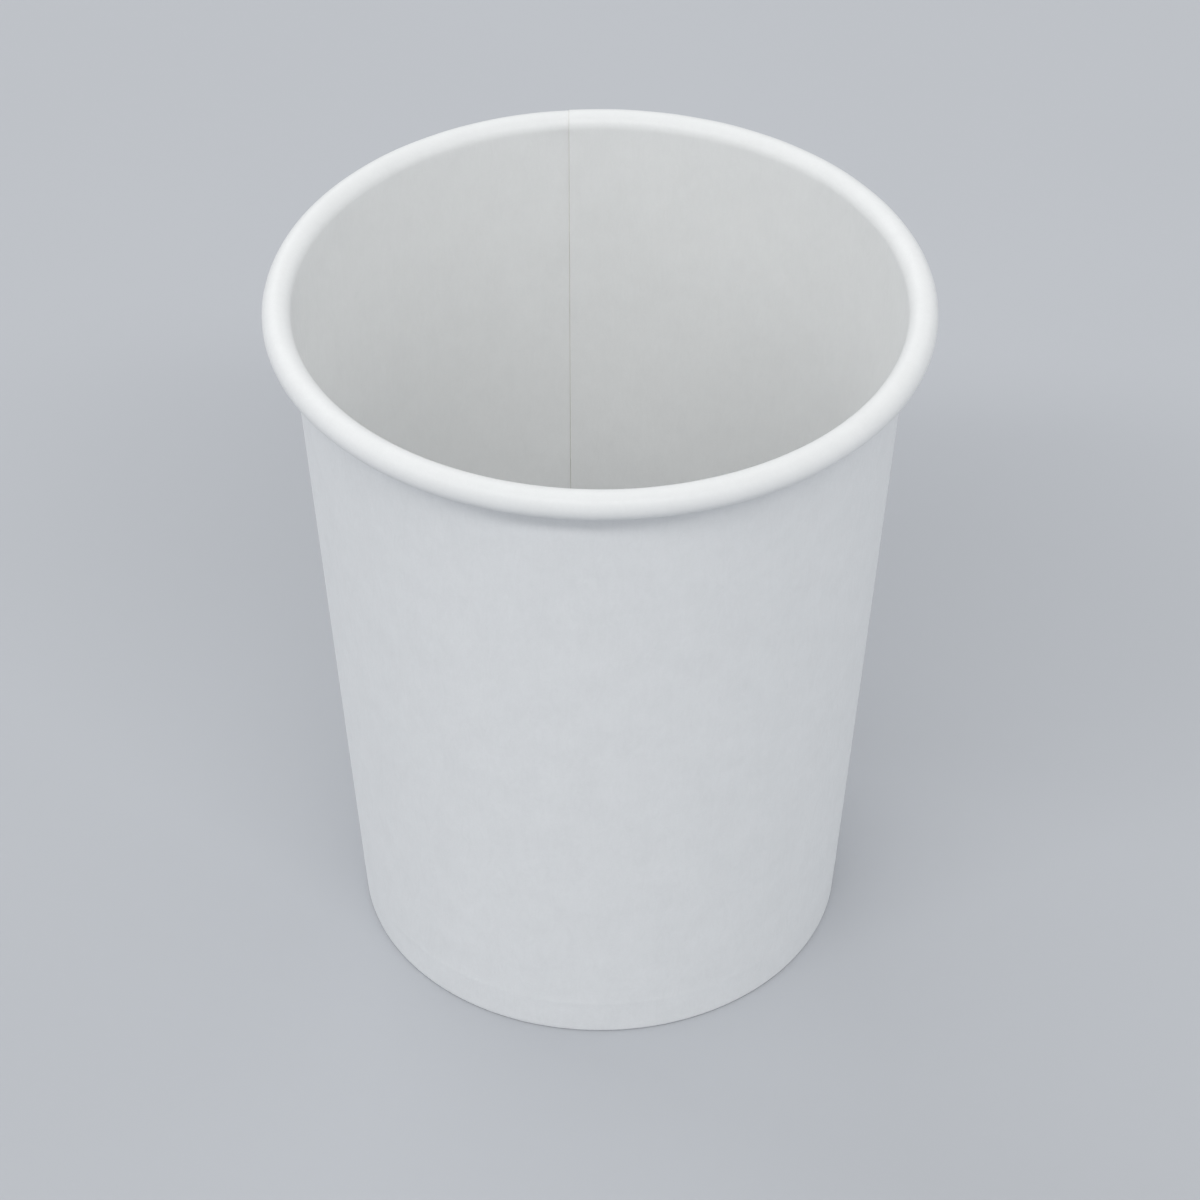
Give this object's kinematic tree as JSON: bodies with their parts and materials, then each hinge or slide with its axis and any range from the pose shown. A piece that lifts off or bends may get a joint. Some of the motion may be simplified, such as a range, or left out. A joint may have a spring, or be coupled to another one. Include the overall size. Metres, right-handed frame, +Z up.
{
  "type": "paper cup",
  "caption": "Tapered single-wall paper drinking cup with a rolled rim, a lapped side seam and a recessed base panel sealed into a folded foot.",
  "frame": {"origin": "centre of the cup's foot, on the surface it stands on", "axes": "+Z up along the cup's axis, +Y towards the side seam, so -Y is the plain front"},
  "size_m": [0.073, 0.073, 0.085],
  "materials": {
    "wall_board": "plain white bleached cup board, matte outside, with a thin satin coating inside and over the rim",
    "base_board": "plain white bleached cup board, satin coating on the upper face, matte underneath"
  },
  "bodies": {
    "root": {"sidewall": "wall_board", "bottom_disc": "base_board"}
  },
  "joints": []
}
